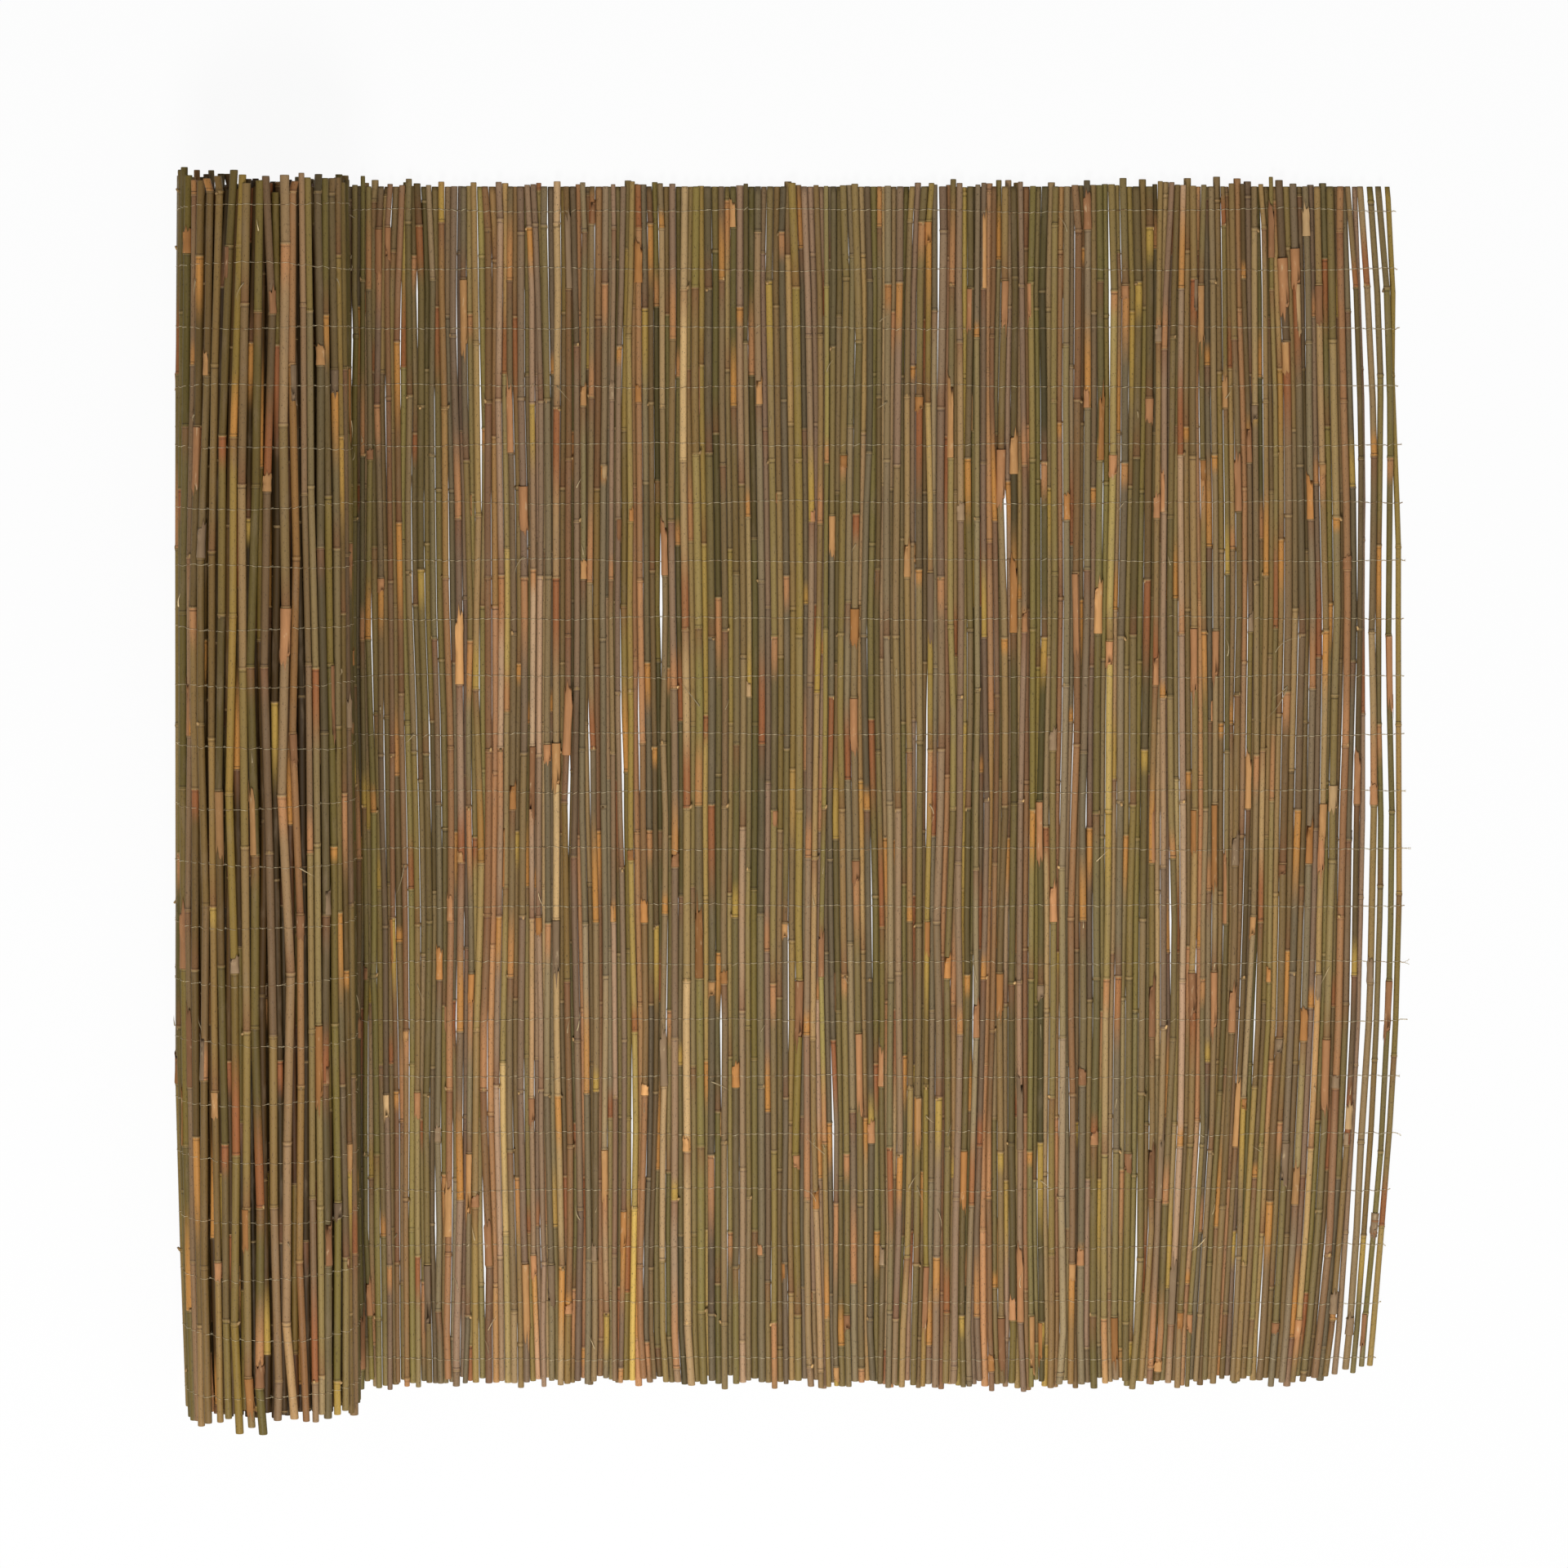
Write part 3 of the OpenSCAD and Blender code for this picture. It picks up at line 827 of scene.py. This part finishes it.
fibres.build("loose_fibres")

# %% [markdown]
# ## Shader maths as Python
# Node trees are hard to read as lists of links. A small class wraps one socket and turns
# Python's operators into Math nodes, so a mask can be written as one expression.

# %% The socket class
class Sock:
    def __init__(self, tree, out):
        self.tree, self.out = tree, out

    def math(self, op, *others, clamp=False):
        node = self.tree.nodes.new("ShaderNodeMath")
        node.operation, node.use_clamp = op, clamp
        for i, value in enumerate((self, *others)):
            feed(self.tree, node.inputs[i], value)
        return Sock(self.tree, node.outputs[0])

    def __add__(self, other):
        return self.math("ADD", other)

    def __mul__(self, other):
        return self.math("MULTIPLY", other)

    __radd__, __rmul__ = __add__, __mul__

    def __sub__(self, other):
        return self.math("SUBTRACT", other)

    def __rsub__(self, other):
        return fixed(self.tree, other).math("SUBTRACT", self)

    def __truediv__(self, other):
        return self.math("DIVIDE", other)

    def __gt__(self, other):
        return self.math("GREATER_THAN", other)

    def __lt__(self, other):
        return self.math("LESS_THAN", other)

    def clamp(self):
        return self.math("ADD", 0.0, clamp=True)

    def fract(self):
        return self.math("FRACT")

    def smooth(self, low, high):
        """0 below low, 1 above high, and a soft step between."""
        return make(self.tree, "ShaderNodeMapRange", {"interpolation_type": "SMOOTHSTEP"},
                    {"Value": self, "From Min": low, "From Max": high}, "Result")


def feed(tree, socket, value):
    if isinstance(value, Sock):
        tree.links.new(value.out, socket)
    else:
        socket.default_value = value


def fixed(tree, number):
    """A number as a socket, through a Math node, so that it can stand on the left."""
    node = tree.nodes.new("ShaderNodeMath")
    node.operation = "ADD"
    node.inputs[0].default_value, node.inputs[1].default_value = number, 0.0
    return Sock(tree, node.outputs[0])


def make(tree, kind, settings=(), values=(), output=0):
    """Any other node: its settings first, then the values or links of its sockets."""
    node = tree.nodes.new(kind)
    for key, value in dict(settings).items():
        setattr(node, key, value)
    for key, value in dict(values).items():
        feed(tree, node.inputs[key], value)
    return Sock(tree, node.outputs[output])


def blend_colour(tree, share, a, b):
    node = tree.nodes.new("ShaderNodeMix")
    node.data_type = "RGBA"
    feed(tree, node.inputs[0], share)
    for socket, value in ((node.inputs[6], a), (node.inputs[7], b)):
        feed(tree, socket, value if isinstance(value, Sock) else (*linear(value), 1.0))
    return Sock(tree, node.outputs[2])


def tint(tree, colour, amount):
    """A colour made lighter or darker by a value."""
    return make(tree, "ShaderNodeVectorMath", {"operation": "SCALE"},
                {0: colour, "Scale": amount}, "Vector")


def stretched(tree, scale, shift=(0, 0, 0)):
    """Object coordinates, scaled apart on each axis."""
    place = make(tree, "ShaderNodeTexCoord", (), (), "Object")
    return make(tree, "ShaderNodeMapping", (), {"Vector": place, "Scale": scale,
                                                "Location": shift}, "Vector")


def noise(tree, place, detail=3.0, rough=0.55, scale=1.0):
    return make(tree, "ShaderNodeTexNoise", (), {"Vector": place, "Scale": scale,
                                                 "Detail": detail, "Roughness": rough}, 0)


def new_material(name):
    mat = bpy.data.materials.new(name)
    mat.use_nodes = True
    bsdf = mat.node_tree.nodes["Principled BSDF"]
    bsdf.inputs["Specular IOR Level"].default_value = 0.25
    return mat, mat.node_tree, bsdf


def mark(tree, name, output):
    """One of the values that the meshes carry."""
    return make(tree, "ShaderNodeAttribute", {"attribute_name": name}, (), output)

# %% [markdown]
# ## The skin of the canes
# Bamboo skin is smooth and faintly ribbed along the stem. Its base tone comes from each
# internode's own mark. Just past a node the skin was covered longest, so on many internodes
# it starts bright orange-gold at the ridge and fades to olive within a hand's width. The
# ridge itself is pale with a dark groove. Streaks, grey bloom and small dark specks run
# along the stem, so the noise is stretched along the canes' length.

# %% The cane material
skin, t, bsdf = new_material("weathered_bamboo")
marks = mark(t, "cane_marks", "Vector")
split = t.nodes.new("ShaderNodeSeparateXYZ")
t.links.new(marks.out, split.inputs[0])
after, before, pick = (Sock(t, split.outputs[i]) for i in range(3))
tone = mark(t, "cane_tone", "Color")
cut = mark(t, "cut", "Fac")

fibre = noise(t, stretched(t, (1500, 10, 1500)), 2.0)
streak = noise(t, stretched(t, (260, 5, 260), (3, 1, 7)), 3.0)
blotch = noise(t, stretched(t, (70, 14, 70), (9, 4, 2)), 3.0, 0.6)
speck = noise(t, stretched(t, (700, 260, 700), (1, 8, 5)), 1.0)

colour = tint(t, tone, 0.66 + 0.42 * streak + 0.30 * fibre)
colour = blend_colour(t, blotch.smooth(0.50, 0.75) * 0.30, colour, (146, 124, 98))

reach = 0.03 + 0.17 * (pick * 7.31).fract()
golden = (1.0 - after / reach).clamp().smooth(0.0, 0.7) * (pick > 0.66)
golden = golden * (0.40 + 0.9 * streak).clamp()
gold = blend_colour(t, (pick * 13.7).fract().smooth(0.3, 0.7), (204, 142, 70), (192, 136, 88))
gold = blend_colour(t, (pick * 29.3).fract().smooth(0.70, 0.75), gold, (162, 98, 56))
gold = blend_colour(t, (pick * 43.1).fract().smooth(0.84, 0.88), gold, (190, 154, 72))
colour = blend_colour(t, golden, colour, gold)

ochre = (pick < 0.07) * (0.35 + 0.5 * blotch).clamp()
colour = blend_colour(t, ochre * 0.6, colour, (152, 128, 56))
rusty = (before / 0.075).smooth(1.0, 0.0) * ((pick * 17.9).fract() > 0.72)
colour = blend_colour(t, rusty * 0.55, colour, (136, 90, 58))

ridge = (after / 0.0030).smooth(1.0, 0.2) + (before / 0.0016).smooth(1.0, 0.2)
strong = (pick * 61.7).fract()
colour = blend_colour(t, ridge.clamp() * (0.2 + 0.6 * strong), colour, (186, 154, 104))
groove = ((after - 0.0048).math("ABSOLUTE") / 0.0018).smooth(1.0, 0.0)
colour = blend_colour(t, groove * (0.75 - 0.55 * strong), colour, (58, 40, 24))
under = ((before - 0.0032).math("ABSOLUTE") / 0.0016).smooth(1.0, 0.0)
colour = blend_colour(t, under * 0.45, colour, (70, 48, 30))
colour = blend_colour(t, speck.smooth(0.64, 0.70) * 0.65, colour, (60, 44, 30))

wood = blend_colour(t, noise(t, stretched(t, (900, 900, 900)), 2.0), (196, 164, 112),
                    (140, 106, 66))
colour = blend_colour(t, cut.smooth(0.4, 0.6), colour, wood)
# Painted shade: the bore's wall and floor are dark brown for the shade in the hollow.
colour = blend_colour(t, cut.smooth(1.4, 1.6), colour, (52, 36, 22))
t.links.new(colour.out, bsdf.inputs["Base Color"])
rough = 0.42 + 0.24 * blotch + 0.25 * cut.clamp() + 0.08 * fibre
t.links.new(rough.clamp().out, bsdf.inputs["Roughness"])
bump = make(t, "ShaderNodeBump", (), {"Strength": 0.35, "Distance": 0.0004,
                                      "Height": fibre * 0.6 + streak}, 0)
t.links.new(bump.out, bsdf.inputs["Normal"])

# %% [markdown]
# ## Dry sheaths, stubs and fibres
# Sheaths are matt and papery. They are brownest at the torn end, and fine veins run along
# them. The fibres and stubs share the finish with their own tones.

# %% The sheath material
paper_skin, t, bsdf = new_material("dry_sheath")
split = t.nodes.new("ShaderNodeSeparateXYZ")
t.links.new(mark(t, "cane_marks", "Vector").out, split.inputs[0])
share = Sock(t, split.outputs[0])
tone = mark(t, "cane_tone", "Color")
vein = noise(t, stretched(t, (1300, 12, 1300), (5, 2, 1)), 2.0)
patch = noise(t, stretched(t, (160, 50, 160), (2, 6, 4)), 3.0)
colour = tint(t, tone, 0.62 + 0.45 * vein + 0.35 * patch)
colour = blend_colour(t, share.smooth(0.55, 1.0) * 0.45 * patch.smooth(0.3, 0.6), colour,
                      (104, 70, 44))
colour = blend_colour(t, patch.smooth(0.62, 0.75) * 0.5, colour, (214, 190, 150))
t.links.new(colour.out, bsdf.inputs["Base Color"])
t.links.new((0.62 + 0.2 * vein).out, bsdf.inputs["Roughness"])
bump = make(t, "ShaderNodeBump", (), {"Strength": 0.4, "Distance": 0.0004, "Height": vein}, 0)
t.links.new(bump.out, bsdf.inputs["Normal"])

# %% [markdown]
# ## The wire's metal
# The wire was galvanised and has dulled. In the shade between the canes it looks grey, and
# where it crosses a cane it catches the light as a pale gold dash, so it is a metal with a
# warm tint and some rust stains.

# %% The wire material
metal, t, bsdf = new_material("dull_galvanised_wire")
stain = noise(t, stretched(t, (90, 90, 90)), 3.0)
fine = noise(t, stretched(t, (900, 900, 900), (4, 4, 4)), 2.0)
colour = blend_colour(t, stain.smooth(0.45, 0.7), (228, 212, 174), (160, 122, 80))
colour = tint(t, colour, 0.8 + 0.4 * fine)
t.links.new(colour.out, bsdf.inputs["Base Color"])
t.links.new((0.45 - 0.35 * stain.smooth(0.5, 0.75)).out, bsdf.inputs["Metallic"])
t.links.new((0.36 + 0.3 * stain).out, bsdf.inputs["Roughness"])

for obj in pieces:
    own = skin if "stems" in obj.name else metal if "wire" in obj.name else paper_skin
    obj.data.materials.append(own)
print("materials:", skin.name, paper_skin.name, metal.name)

# %% [markdown]
# ## Floor, light and camera
# The mat lies on a white floor, and the camera looks straight down from about seven metres,
# a little towards its head end, as the photograph was taken. Most of the floor's look is
# plain white, so it shows bright through the slits, and the rest keeps the soft shadow. The
# air lights the mat dimly from all round and is itself seen as white. The lamps are wide
# and high, with the main one nearer the foot end, which is the lighter one.

# %% The floor
deselect()
bpy.ops.mesh.primitive_plane_add(size=24, location=(0, 0, 0))
floor = bpy.context.active_object
floor.name = "studio_floor"
paper, t, bsdf = new_material("pale_paper")
bsdf.inputs["Base Color"].default_value = (0.9, 0.9, 0.9, 1)
bsdf.inputs["Roughness"].default_value = 0.9
white = make(t, "ShaderNodeEmission", (), {"Color": (1, 1, 1, 1), "Strength": 1.0})
rays = t.nodes.new("ShaderNodeLightPath")
seen = sum((Sock(t, rays.outputs[n]) for n in ("Is Glossy Ray", "Is Transmission Ray")),
           Sock(t, rays.outputs["Is Camera Ray"])).clamp() * 0.93
mix = t.nodes.new("ShaderNodeMixShader")
feed(t, mix.inputs[0], seen)
t.links.new(bsdf.outputs[0], mix.inputs[1])
t.links.new(white.out, mix.inputs[2])
t.links.new(mix.outputs[0], t.nodes["Material Output"].inputs[0])
floor.data.materials.append(paper)

# %% Lamps and world
def lamp(name, place, size, watts):
    data = bpy.data.lights.new(name, "AREA")
    data.shape, data.size, data.energy = "SQUARE", size, watts
    obj = bpy.data.objects.new(name, data)
    obj.location = place
    obj.rotation_euler = (-Vector(place)).to_track_quat("-Z", "Y").to_euler()
    bpy.context.scene.collection.objects.link(obj)


lamp("key_lamp", (-0.8, -3.3, 4.9), 2.2, 240)
lamp("fill_lamp", (3.0, -0.6, 6.0), 4.0, 60)
world = bpy.data.worlds.new("studio_air")
bpy.context.scene.world = world
world.use_nodes = True
t = world.node_tree
t.nodes["Background"].inputs[0].default_value = (1, 1, 1, 1)
straight = make(t, "ShaderNodeLightPath", (), (), "Is Camera Ray")
t.links.new((0.30 + 0.70 * straight).out, t.nodes["Background"].inputs[1])
bpy.context.scene.view_settings.view_transform = "Standard"

# %% The camera
HEIGHT, OVER_HEAD, FRAME_WIDE = 7.2, 0.66, 2.579
cam_data = bpy.data.cameras.new("overhead_camera")
camera = bpy.data.objects.new("overhead_camera", cam_data)
camera.location = (-0.015, OVER_HEAD, HEIGHT)
camera.rotation_euler = (0.0015 - math.atan2(OVER_HEAD, HEIGHT), 0, 0)
cam_data.sensor_width = 36
distance = math.hypot(OVER_HEAD, HEIGHT)
cam_data.lens = 36 * distance / FRAME_WIDE
bpy.context.scene.collection.objects.link(camera)
bpy.context.scene.camera = camera
print("lens", round(cam_data.lens, 1), "mm at", round(distance, 2), "m")
